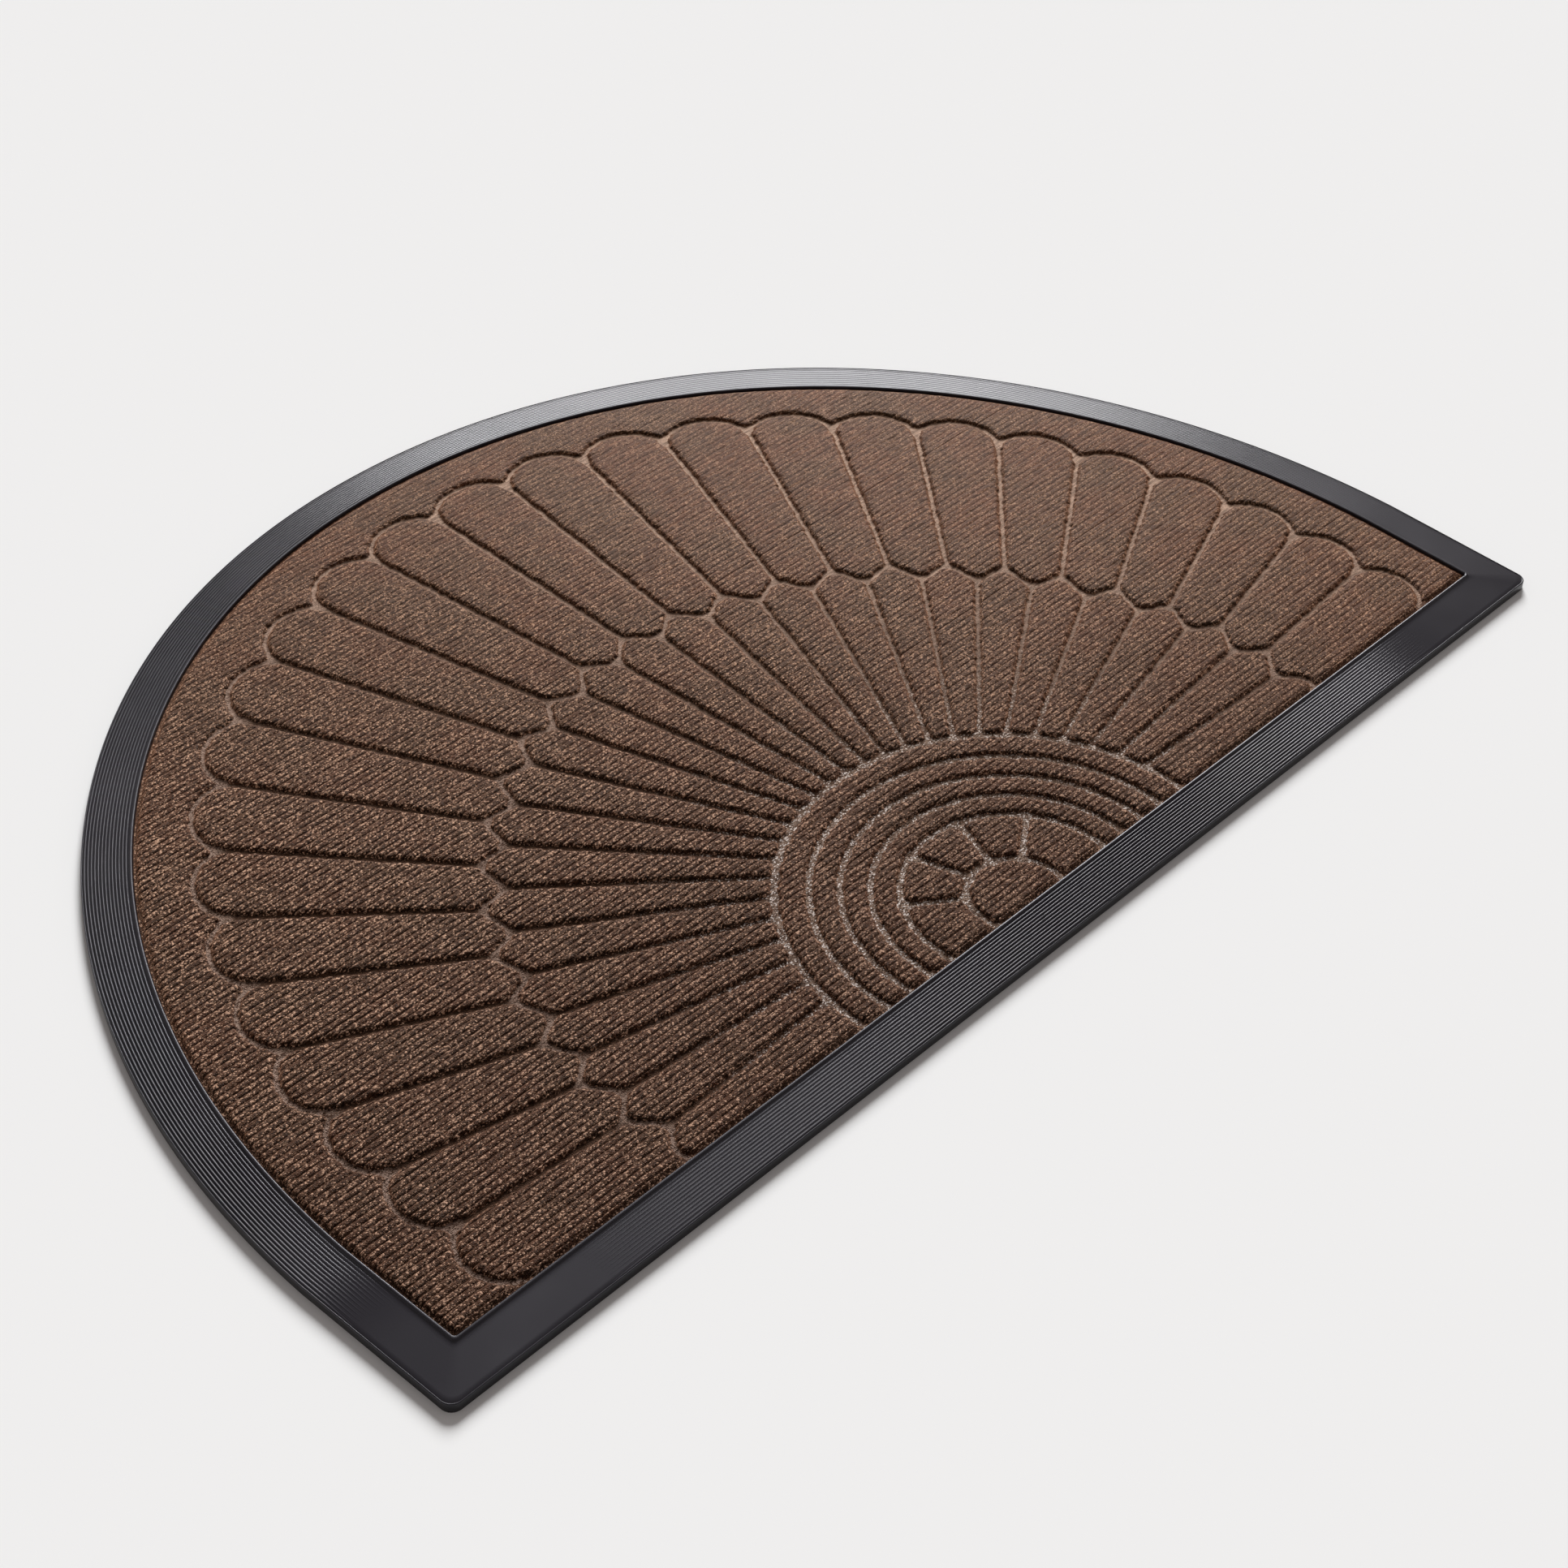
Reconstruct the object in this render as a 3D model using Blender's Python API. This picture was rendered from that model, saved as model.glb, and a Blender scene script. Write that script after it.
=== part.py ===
# Half-round doormat: a moulded rubber base with a ribbed, bevelled border, and an
# embossed corded carpet that lies in its recess. Metres, +Z up, floor at z = 0.
# X runs along the straight edge, Y from the straight edge towards the arc.

from math import acos, atan2, cos, hypot, pi, radians, sin, tan

import bmesh
import bpy
from mathutils import Vector
from mathutils.geometry import area_tri, delaunay_2d_cdt

# Whole mat
DEPTH = 0.600
HALF_WIDTH = 0.450
HALF_WIDTH_AT_EDGE = 0.447
SHOULDER = 0.105
ARC_POWER = 2.03
TOTAL_HEIGHT = 0.0095
GAP = 0.0003

# Rubber base
BORDER = 0.0286
CORNER_RADIUS = 0.007
INNER_CORNER_RADIUS = 0.002
EDGE_HEIGHT = 0.0055
EDGE_CHAMFER = 0.0006
FLOOR_HEIGHT = 0.0025
RIB_COUNT = 13
RIB_START = 0.0011
RIB_END = 0.0259
RIB_HEIGHT = 0.0006
RIB_FOOT_HEIGHT = 0.0080
LIP_FOOT = 0.0262
LIP_CROWN = 0.0268
LIP_INNER = 0.0280
LIP_HEIGHT = 0.0091
RIB_FADE_START = 0.045
RIB_FADE_LENGTH = 0.070

# Carpet
SHEET_TOP = 0.0070
PILE_PROFILE = ((0.0004, 0.0081), (0.0016, TOTAL_HEIGHT))
TROUGH = 0.0019
PILE_INSET = BORDER + GAP + TROUGH
GROOVE = 0.0044
RING_GROOVE = 0.0050
CORNER_ROUND = 0.0060
SMALL_ROUND = 0.0024
SHARP_TURN = radians(25)
SHORTEST_SIDE = 0.0090
LEAST_ROUND = 0.0008
MERGE = 0.000001
LEAST_AREA = 1e-9

# Pressed pattern: distances from the fan's centre on the mat's axis, angles from the axis
FAN_CENTRE = 0.0391
RING_RADII = (0.1340, 0.1149, 0.0978, 0.0810, 0.0646)
HUB_RADIUS = 0.0283
WEDGE_ANGLES = (-54.0, -18.0, 18.0, 54.0)
NOTCH_INSET = 0.0755
NOTCH_STEP = (6.58, 0.034)
WAVE_STEP = (6.69, 0.021)
SPOKE_STEP = (5.65, 0.076)
WAVE_RADIUS = 0.3077
WAVE_SHRINK = 0.0490
WAVE_SHRINK_POWER = 1.35
WAVE_HEIGHT = 0.0060
TIP_RISE = 0.30
OUTER_LINES = 12
END_ANGLE = radians(112.0)

# How finely round stretches are divided
ARC_STEPS = 60
CORNER_STEPS = 4
FRONT_STOPS = (-1.0, -0.95, -0.90, -0.84, -0.77, -0.40, 0.0, 0.40, 0.77, 0.84, 0.90, 0.95, 1.0)
SIDE_STEPS = 3
TIP_STEPS = 7
ROUND_STEPS = 2
RING_STEPS = 26
WEDGE_STEPS = 4
HUB_STEPS = 12

BASE_COLOUR = (0.055, 0.055, 0.060, 1.0)
CARPET_COLOUR = (0.135, 0.075, 0.052, 1.0)


def clear_scene():
    for item in list(bpy.data.objects):
        bpy.data.objects.remove(item, do_unlink=True)


def principled(name, colour, roughness):
    material = bpy.data.materials.new(name)
    material.use_nodes = True
    shader = material.node_tree.nodes["Principled BSDF"]
    shader.inputs["Base Color"].default_value = colour
    shader.inputs["Roughness"].default_value = roughness
    shader.inputs["Metallic"].default_value = 0.0
    return material


def finish_object(name, bm, material):
    """Turn a closed bmesh into the named object, moved so that the mat's middle is at the origin."""
    for vertex in bm.verts:
        vertex.co.y -= DEPTH / 2
    bmesh.ops.recalc_face_normals(bm, faces=bm.faces)
    mesh = bpy.data.meshes.new(name)
    bm.to_mesh(mesh)
    bm.free()
    mesh.materials.append(material)
    mesh.shade_smooth()
    mesh.set_sharp_from_angle(angle=radians(25))
    item = bpy.data.objects.new(name, mesh)
    bpy.context.collection.objects.link(item)
    return item


# Outline of the mat and its inset copies

def arc_point(angle, inset):
    """A point of the edge, moved inwards. Past a quarter turn it lies on the short straight side."""
    if abs(angle) > pi / 2:
        y = SHOULDER - (abs(angle) - pi / 2) * HALF_WIDTH
        x = half_width_at(y) - inset
        return (x if angle > 0 else -x, y)
    across, along = sin(angle), cos(angle)
    power = ARC_POWER
    rise = DEPTH - SHOULDER
    scale = (abs(across) ** power + abs(along) ** power) ** (-1 / power)
    x = HALF_WIDTH * across * scale
    y = rise * along * scale
    slope_x = abs(x / HALF_WIDTH) ** (power - 1) / HALF_WIDTH
    slope_y = abs(y / rise) ** (power - 1) / rise
    length = hypot(slope_x, slope_y)
    side = 1 if x >= 0 else -1
    return (x - side * inset * slope_x / length, SHOULDER + y - inset * slope_y / length)


def half_width_at(y):
    """Half the mat's width on the short sides below the shoulder."""
    return HALF_WIDTH_AT_EDGE + (HALF_WIDTH - HALF_WIDTH_AT_EDGE) * min(y / SHOULDER, 1.0)


def outline(inset):
    """A closed loop inside the mat's edge. Loops of any inset have the same number of points."""
    radius = CORNER_RADIUS + (INNER_CORNER_RADIUS - CORNER_RADIUS) * min(inset / BORDER, 1.0)
    corner_x = half_width_at(inset + radius) - inset - radius
    corner_y = inset + radius
    right = [(corner_x * stop, inset) for stop in FRONT_STOPS]
    for step in range(1, CORNER_STEPS + 1):
        turn = step / CORNER_STEPS * pi / 2
        right.append((corner_x + radius * sin(turn), corner_y - radius * cos(turn)))
    for step in range(1, SIDE_STEPS):
        y = corner_y + (SHOULDER - corner_y) * step / SIDE_STEPS
        right.append((half_width_at(y) - inset, y))
    arc = [arc_point(pi / 2 - pi * step / ARC_STEPS, inset) for step in range(ARC_STEPS + 1)]
    left_side = right[len(FRONT_STOPS):]
    left = [(-x, y) for x, y in reversed(left_side)]
    return right + arc + left


def rib_strength(x, y):
    """Ribs fade out towards the two square corners."""
    reach = hypot(HALF_WIDTH_AT_EDGE - abs(x), y)
    part = min(max((reach - RIB_FADE_START) / RIB_FADE_LENGTH, 0.0), 1.0)
    return part * part * (3 - 2 * part)


def add_loop(bm, points, heights):
    return [bm.verts.new((x, y, z)) for (x, y), z in zip(points, heights)]


def join_loops(bm, lower, upper):
    count = len(lower)
    for index in range(count):
        following = (index + 1) % count
        bm.faces.new((lower[index], lower[following], upper[following], upper[index]))


def border_height(inset):
    """Height of the valleys between the ribs, which climbs evenly from the edge to the lip."""
    share = (inset - RIB_START) / (RIB_END - RIB_START)
    return EDGE_HEIGHT + (RIB_FOOT_HEIGHT - EDGE_HEIGHT) * min(max(share, 0.0), 1.0)


def border_profile():
    """Rows of inset, height and rib height, from the underside over the border to the recess."""
    rows = [
        (0.0, 0.0, 0.0),
        (0.0, EDGE_HEIGHT - EDGE_CHAMFER, 0.0),
        (EDGE_CHAMFER, EDGE_HEIGHT, 0.0),
    ]
    pitch = (RIB_END - RIB_START) / RIB_COUNT
    for rib in range(RIB_COUNT):
        valley = RIB_START + rib * pitch
        crest = valley + pitch / 2
        rows.append((valley, border_height(valley), 0.0))
        rows.append((crest, border_height(crest), RIB_HEIGHT))
    rows.append((RIB_END, border_height(RIB_END), 0.0))
    rows.append((LIP_FOOT, RIB_FOOT_HEIGHT, 0.0))
    rows.append((LIP_CROWN, LIP_HEIGHT, 0.0))
    rows.append((LIP_INNER, LIP_HEIGHT, 0.0))
    rows.append((BORDER, LIP_HEIGHT - EDGE_CHAMFER, 0.0))
    rows.append((BORDER, FLOOR_HEIGHT, 0.0))
    return rows


def build_rubber_base():
    bm = bmesh.new()
    loops = []
    for inset, height, rib in border_profile():
        points = outline(inset)
        heights = [height + rib * rib_strength(x, y) for x, y in points]
        loops.append(add_loop(bm, points, heights))
    for lower, upper in zip(loops, loops[1:]):
        join_loops(bm, lower, upper)
    bm.faces.new(reversed(loops[0]))
    bm.faces.new(loops[-1])
    return finish_object("rubber_base", bm, principled("rubber", BASE_COLOUR, 0.55))


# Lines of the pressed pattern

def fan_angle(number, step):
    """Angle of a numbered spoke: the spacing grows a little away from the axis."""
    size = abs(number)
    angle = radians(step[0] * size + step[1] * size * size)
    return angle if number >= 0 else -angle


def polar(radius, angle):
    return (radius * sin(angle), FAN_CENTRE + radius * cos(angle))


def notch_point(number):
    """Where an outer spoke meets the scalloped edge of the fan."""
    wanted = fan_angle(number, NOTCH_STEP)
    low, high = -END_ANGLE, END_ANGLE
    for _ in range(40):
        middle = (low + high) / 2
        x, y = arc_point(middle, NOTCH_INSET)
        if atan2(x, y - FAN_CENTRE) < wanted:
            low = middle
        else:
            high = middle
    return arc_point(low, NOTCH_INSET)


def wave_point(number):
    """The wavy line between the two rows of petals, with a crest at each whole number."""
    angle = fan_angle(number, WAVE_STEP)
    shrink = WAVE_SHRINK * (abs(angle) / (pi / 2)) ** WAVE_SHRINK_POWER
    return polar(WAVE_RADIUS - shrink + WAVE_HEIGHT * cos(2 * pi * number), angle)


def tip_arc(start, end):
    """The round end of an outer petal, from one notch to the next."""
    chord = hypot(end[0] - start[0], end[1] - start[1])
    rise = TIP_RISE * chord
    radius = (chord * chord / 4 + rise * rise) / (2 * rise)
    middle = Vector(((start[0] + end[0]) / 2, (start[1] + end[1]) / 2))
    across = Vector((end[0] - start[0], end[1] - start[1])) / chord
    outward = Vector((-across.y, across.x))
    centre = middle - outward * (radius - rise)
    spread = acos(min(max((radius - rise) / radius, -1.0), 1.0))
    points = []
    for step in range(TIP_STEPS + 1):
        turn = -spread + 2 * spread * step / TIP_STEPS
        spot = centre + outward * radius * cos(turn) + across * radius * sin(turn)
        points.append((spot.x, spot.y))
    return points


# Outlines of the raised islands, as points with the rounding radius of each corner

def with_rounding(points, radius):
    return [(x, y, radius) for x, y in points]


def outer_petal(number):
    """Between two outer spokes, from the wavy line to the scalloped edge."""
    cell = with_rounding(tip_arc(notch_point(number), notch_point(number + 1)), CORNER_ROUND)
    if number == OUTER_LINES:
        cell += with_rounding([polar(WAVE_RADIUS - WAVE_SHRINK, END_ANGLE)], CORNER_ROUND)
    inner_end = [wave_point(number + part) for part in (1.0, 0.68, 0.5, 0.32, 0.0)]
    return cell + with_rounding(inner_end, CORNER_ROUND)


def inner_petal(number):
    """Between two inner spokes, from the outermost ring to the wavy line."""
    outer_end = [wave_point(number + part) for part in (-0.5, -0.22, 0.0, 0.22, 0.5)]
    start, end = (fan_angle(number + part, SPOKE_STEP) for part in (-0.5, 0.5))
    if number > OUTER_LINES:
        outer_end[3:] = [polar(WAVE_RADIUS - WAVE_SHRINK, END_ANGLE)]
        end = END_ANGLE
    ring_end = [polar(RING_RADII[0], angle) for angle in (end, (start + end) / 2, start)]
    return with_rounding(outer_end, CORNER_ROUND) + with_rounding(ring_end, SMALL_ROUND)


def arc_points(radius, start, end, steps):
    return [polar(radius, start + (end - start) * step / steps) for step in range(steps + 1)]


def ring_band(outer_radius, inner_radius):
    outer = arc_points(outer_radius, -END_ANGLE, END_ANGLE, RING_STEPS)
    inner = arc_points(inner_radius, END_ANGLE, -END_ANGLE, RING_STEPS)
    return with_rounding(outer + inner, SMALL_ROUND)


def wedge(start, end):
    outer = arc_points(RING_RADII[-1], start, end, WEDGE_STEPS)
    inner = arc_points(HUB_RADIUS, end, start, WEDGE_STEPS // 2)
    return with_rounding(outer + inner, SMALL_ROUND)


def hub():
    return with_rounding(arc_points(HUB_RADIUS, -END_ANGLE, END_ANGLE, HUB_STEPS), SMALL_ROUND)


def outer_band():
    """The plain band between the scalloped petals and the edge of the pile."""
    front = PILE_INSET - GROOVE / 2
    corner = half_width_at(front) - front
    sides = outline(front)[len(FRONT_STOPS) + CORNER_STEPS:-CORNER_STEPS]
    cell = with_rounding([(corner, 0.0)] + sides + [(-corner, 0.0)], SMALL_ROUND)
    for number in range(-OUTER_LINES - 1, OUTER_LINES + 1):
        tip = tip_arc(notch_point(number), notch_point(number + 1))
        cell += with_rounding(tip[:-1], SMALL_ROUND)
    cell += with_rounding([notch_point(OUTER_LINES + 1)], SMALL_ROUND)
    return cell


def mirrored(cell):
    return [(-x, y, radius) for x, y, radius in reversed(cell)]


def pattern_cells():
    """Every raised island of the fan as its cell, with its groove width."""
    right = [(outer_petal(number), GROOVE) for number in range(OUTER_LINES + 1)]
    right += [(inner_petal(number), GROOVE) for number in range(1, OUTER_LINES + 2)]
    cells = right + [(mirrored(cell), groove) for cell, groove in right]
    cells.append((inner_petal(0), GROOVE))
    cells += [(ring_band(*pair), RING_GROOVE) for pair in zip(RING_RADII, RING_RADII[1:])]
    stops = [-END_ANGLE] + [radians(angle) for angle in WEDGE_ANGLES] + [END_ANGLE]
    cells += [(wedge(start, end), RING_GROOVE) for start, end in zip(stops, stops[1:])]
    cells.append((hub(), RING_GROOVE))
    cells.append((outer_band(), GROOVE))
    return cells


# Working on closed loops of points

def cut_at_front(cell, front):
    """Keep what lies behind the line y = front, with no short side next to the cut."""
    kept = []
    for here, after in zip(cell, cell[1:] + cell[:1]):
        if here[1] >= front:
            kept.append(here)
        if (here[1] >= front) != (after[1] >= front):
            share = (front - here[1]) / (after[1] - here[1])
            kept.append((here[0] + (after[0] - here[0]) * share, front, SMALL_ROUND))
    ends = [point for point in kept if point[1] == front]
    return [point for point in kept if point in ends or not near_any(point, ends)]


def near_any(point, others):
    return any(hypot(point[0] - x, point[1] - y) < SHORTEST_SIDE for x, y, _ in others)


def counterclockwise(cell):
    area = sum(a[0] * b[1] - b[0] * a[1] for a, b in zip(cell, cell[1:] + cell[:1]))
    return cell if area > 0 else cell[::-1]


def inset_loop(cell, distance):
    """Move a counterclockwise loop inwards, each side by the same distance."""
    moved = []
    for before, point, after in zip(cell[-1:] + cell[:-1], cell, cell[1:] + cell[:1]):
        first = Vector((point[0] - before[0], point[1] - before[1])).normalized()
        second = Vector((after[0] - point[0], after[1] - point[1])).normalized()
        inward = Vector((-first.y - second.y, first.x + second.x)) / (1 + first.dot(second))
        moved.append((point[0] + inward.x * distance, point[1] + inward.y * distance, *point[2:]))
    return moved


def island_loop(cell, inset, climb):
    """The cell's outline moved inwards and rounded, with tighter corners where the pile has climbed in."""
    return round_corners(inset_loop(cell, inset + climb), climb)


def round_corners(cell, climb):
    """Replace each sharp corner by a short arc of the radius that its point carries, less the climb."""
    rounded = []
    for before, point, after in zip(cell[-1:] + cell[:-1], cell, cell[1:] + cell[:1]):
        spot = Vector(point[:2])
        towards = Vector(before[:2]) - spot
        away = Vector(after[:2]) - spot
        turn = pi - towards.angle(away)
        if turn < SHARP_TURN:
            rounded.append(point[:2])
            continue
        room = 0.46 * min(towards.length, away.length)
        radius = max(point[2] - climb, LEAST_ROUND)
        reach = min(radius * tan(turn / 2), room)
        start = spot + towards.normalized() * reach
        end = spot + away.normalized() * reach
        middle = (towards.normalized() + away.normalized()).normalized()
        centre = spot + middle * reach / sin(turn / 2)
        for step in range(ROUND_STEPS + 1):
            swing = turn * step / ROUND_STEPS
            spoke = (start - centre) * sin(turn - swing) + (end - centre) * sin(swing)
            rounded.append(tuple(centre + spoke / sin(turn)))
    return rounded


def fill_sheet(bm, loops):
    """Triangles of the sheet between its rim and the islands inside it, without those that are flat."""
    points = [point for loop, _ in loops for point in loop]
    verts = [vertex for _, loop in loops for vertex in loop]
    sides = []
    for loop, _ in loops:
        first = len(sides)
        sides += [(first + index, first + (index + 1) % len(loop)) for index in range(len(loop))]
    result = delaunay_2d_cdt([Vector(point) for point in points], sides, [], 0, MERGE)
    places, triangles, origins = result[0], result[2], result[3]
    for triangle in triangles:
        corners = [places[corner] for corner in triangle]
        middle = sum(corners, Vector((0, 0))) / 3
        if area_tri(*corners) > LEAST_AREA and inside(middle, points, sides):
            bm.faces.new([verts[origins[corner][0]] for corner in triangle])


def inside(spot, points, sides):
    """Whether a spot lies inside an odd number of the loops."""
    crossings = 0
    for start, end in sides:
        (x1, y1), (x2, y2) = points[start], points[end]
        if (y1 > spot.y) != (y2 > spot.y):
            crossings += spot.x < x1 + (x2 - x1) * (spot.y - y1) / (y2 - y1)
    return crossings % 2 == 1


def build_carpet():
    bm = bmesh.new()
    rim = outline(BORDER + GAP)
    bottom = add_loop(bm, rim, [FLOOR_HEIGHT + GAP] * len(rim))
    loops = [(rim, add_loop(bm, rim, [SHEET_TOP] * len(rim)))]
    islands = []
    for cell, groove in pattern_cells():
        kept = counterclockwise(cut_at_front(cell, PILE_INSET - groove / 2))
        foot = island_loop(kept, groove / 2, 0.0)
        base = add_loop(bm, foot, [SHEET_TOP] * len(foot))
        islands.append((kept, groove, base))
        loops.append((foot, base))
    fill_sheet(bm, loops)
    for cell, groove, lower in islands:
        for climb, height in PILE_PROFILE:
            points = island_loop(cell, groove / 2, climb)
            upper = add_loop(bm, points, [height] * len(points))
            join_loops(bm, lower, upper)
            lower = upper
        bm.faces.new(lower)
    join_loops(bm, bottom, loops[0][1])
    bm.faces.new(reversed(bottom))
    return finish_object("carpet", bm, principled("carpet_fabric", CARPET_COLOUR, 0.95))


clear_scene()
build_rubber_base()
build_carpet()
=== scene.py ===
from math import cos, pi, radians, sin

import bpy
import numpy as np
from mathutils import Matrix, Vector


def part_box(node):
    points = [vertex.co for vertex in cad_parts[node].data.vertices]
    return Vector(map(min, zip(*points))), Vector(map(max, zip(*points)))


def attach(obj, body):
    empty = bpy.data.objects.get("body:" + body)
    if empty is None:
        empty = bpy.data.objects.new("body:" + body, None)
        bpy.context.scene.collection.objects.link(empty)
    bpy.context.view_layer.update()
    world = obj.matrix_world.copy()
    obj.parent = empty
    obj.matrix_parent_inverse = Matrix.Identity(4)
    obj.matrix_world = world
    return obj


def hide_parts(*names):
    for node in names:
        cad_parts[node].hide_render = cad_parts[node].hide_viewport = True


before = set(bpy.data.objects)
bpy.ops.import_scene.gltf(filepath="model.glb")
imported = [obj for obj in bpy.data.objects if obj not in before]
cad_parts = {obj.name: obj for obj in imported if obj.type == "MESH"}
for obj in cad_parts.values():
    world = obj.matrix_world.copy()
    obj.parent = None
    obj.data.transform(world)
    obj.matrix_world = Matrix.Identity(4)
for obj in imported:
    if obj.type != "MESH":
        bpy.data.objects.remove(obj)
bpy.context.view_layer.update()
baseLow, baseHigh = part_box("rubber_base")
carpetLow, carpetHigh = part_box("carpet")

# The whole mat. Points are worked out with y counted from the straight edge,
# and placeMesh moves them to the frame's middle.
mat = {
    "halfWidth": baseHigh.x,
    "depth": baseHigh.y - baseLow.y,
    "shoulder": 0.105,     # the arc starts here, the short straight sides lie below
    "drawIn": 0.003,       # how far the short sides draw in at the straight edge
    "arcPower": 2.03,
    "gap": 0.0003,         # between the carpet and the lip
    "outerRadius": 0.007,  # of the two square corners
    "innerRadius": 0.002,  # of the same corners at the lip
}
mat["border"] = baseHigh.x - carpetHigh.x - mat["gap"]
mat["carpetInset"] = mat["border"] + mat["gap"]


# Shared helpers

def newObject(name, data):
    item = bpy.data.objects.new(name, data)
    bpy.context.scene.collection.objects.link(item)
    return item


def placeMesh(name, points, faces, smoothAngle=None, **attributes):
    # a plain mesh object at the origin, with its place in its points
    mesh = bpy.data.meshes.new(name)
    points = np.asarray(points, float) - (0, mat["depth"] / 2, 0)
    mesh.from_pydata(points.tolist(), [], faces)
    for key, values in attributes.items():
        mesh.attributes.new(key, "FLOAT", "POINT").data.foreach_set("value", values.astype(np.float32))
    mesh.shade_smooth()
    if smoothAngle:
        mesh.set_sharp_from_angle(angle=radians(smoothAngle))
    return newObject(name, mesh)


def finishPiece(item, material, node):
    item.data.materials.clear()
    item.data.materials.append(material)
    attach(item, "root")
    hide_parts(node)


def sideX(y):
    # half the width on the short straight sides
    return mat["halfWidth"] - mat["drawIn"] * (1 - np.minimum(y / mat["shoulder"], 1))


def arcPoint(angle, inset):
    # a point of the round edge moved inwards, with the angle counted from the middle
    across, along = np.sin(angle), np.cos(angle)
    power, wide, rise = mat["arcPower"], mat["halfWidth"], mat["depth"] - mat["shoulder"]
    scale = (np.abs(across) ** power + np.abs(along) ** power) ** (-1 / power)
    x, y = wide * across * scale, rise * along * scale
    slopeX = np.abs(x / wide) ** (power - 1) / wide
    slopeY = np.abs(y / rise) ** (power - 1) / rise
    length = np.hypot(slopeX, slopeY)
    return x - np.sign(x) * inset * slopeX / length, mat["shoulder"] + y - inset * slopeY / length


loopSteps = {"front": 90, "corner": 8, "side": 8, "arc": 300, "search": 3000}


def outlineLoop(inset):
    # closed loop inside the edge; loops of any inset have the same number of points
    share = min(inset / mat["border"], 1.0)
    radius = mat["outerRadius"] + (mat["innerRadius"] - mat["outerRadius"]) * share
    cornerX = sideX(inset + radius) - inset - radius
    cornerY = inset + radius
    frontX = np.linspace(-cornerX, cornerX, loopSteps["front"] + 1)
    turn = np.linspace(0, pi / 2, loopSteps["corner"] + 1)[1:]
    sideY = np.linspace(cornerY, mat["shoulder"], loopSteps["side"] + 1)[1:-1]
    right = np.concatenate([
        np.stack([cornerX + radius * np.sin(turn), cornerY - radius * np.cos(turn)], 1),
        np.stack([sideX(sideY) - inset, sideY], 1),
    ])
    arc = np.stack(arcPoint(np.linspace(pi / 2, -pi / 2, loopSteps["arc"] + 1), inset), 1)
    front = np.stack([frontX, np.full_like(frontX, inset)], 1)
    return np.concatenate([front, right, arc, right[::-1] * (-1, 1)])


# Helpers for node trees

def useNodes(name):
    material = bpy.data.materials.new(name)
    material.use_nodes = True
    return material, material.node_tree, material.node_tree.nodes["Principled BSDF"]


def fillSocket(tree, socket, value):
    # links another node's output, or sets a plain value
    if isinstance(value, bpy.types.NodeSocket):
        tree.links.new(value, socket)
    else:
        socket.default_value = value


def addNode(tree, kind, settings=None, **inputs):
    # inputs go by name, with _ for a space, or by number as i0, i1 and so on
    made = tree.nodes.new(kind)
    for key, value in (settings or {}).items():
        setattr(made, key, value)
    for key, value in inputs.items():
        place = int(key[1:]) if key[0] == "i" and key[1:].isdigit() else key.replace("_", " ")
        fillSocket(tree, made.inputs[place], value)
    return made


def mixColours(tree, factor, first, second, blend="MIX"):
    made = addNode(tree, "ShaderNodeMix", {"data_type": "RGBA", "blend_type": blend})
    for socket, value in zip((made.inputs[0], made.inputs[6], made.inputs[7]), (factor, first, second)):
        fillSocket(tree, socket, value)
    return made.outputs[2]


def mathNode(tree, operation, *values):
    made = addNode(tree, "ShaderNodeMath", {"operation": operation})
    for socket, value in zip(made.inputs, values):
        fillSocket(tree, socket, value)
    return made.outputs[0]


def rangeNode(tree, value, low, high, newLow=0.0, newHigh=1.0):
    made = addNode(tree, "ShaderNodeMapRange", {"interpolation_type": "SMOOTHSTEP"}, Value=value)
    for place, number in zip((1, 2, 3, 4), (low, high, newLow, newHigh)):
        made.inputs[place].default_value = number
    return made.outputs[0]


def scaled(tree, vector, scale):
    # a place or a colour multiplied by three numbers
    return addNode(tree, "ShaderNodeVectorMath", {"operation": "MULTIPLY"}, i0=vector, i1=scale).outputs[0]


def noiseNode(tree, place, scale, detail, roughness=0.5):
    # scale is one number, or three numbers for a noise that is stretched along the cords
    if isinstance(scale, tuple):
        place, scale = scaled(tree, place, scale), 1.0
    made = addNode(tree, "ShaderNodeTexNoise", Vector=place, Scale=scale, Detail=detail, Roughness=roughness)
    return made.outputs[0]


def attributeNode(tree, name):
    return addNode(tree, "ShaderNodeAttribute", {"attribute_name": name}).outputs["Fac"]


# Camera and light

camera = {
    "place": (-0.9470, -0.9674, 1.1227),
    "turn": (48.486, -1.071, -46.012),    # degrees about x, y and z
    "fieldOfView": 29.877,
    "clip": (0.05, 50.0),
}


def makeCamera():
    data = bpy.data.cameras.new("camera")
    data.sensor_fit = "HORIZONTAL"
    data.angle = radians(camera["fieldOfView"])
    data.clip_start, data.clip_end = camera["clip"]
    item = newObject("camera", data)
    item.location = camera["place"]
    item.rotation_euler = [radians(value) for value in camera["turn"]]
    bpy.context.scene.camera = item


lights = {
    # bearing and elevation in degrees seen from the mat; 180 stands behind the arc, 90 on the right
    "sun": {"bearing": 131, "elevation": 27, "distance": 3.0, "disc": 24, "strength": 5.2},
    "panel": {"bearing": 134, "elevation": 22, "distance": 4.0, "size": (2.0, 1.0), "watts": 106},
    "strip": {"bearing": 127, "elevation": 41, "distance": 3.0, "size": (0.6, 0.4), "watts": 11},
    "world": {"colour": (1.0, 0.915, 0.885, 1.0), "strength": 0.25},
}


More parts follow.
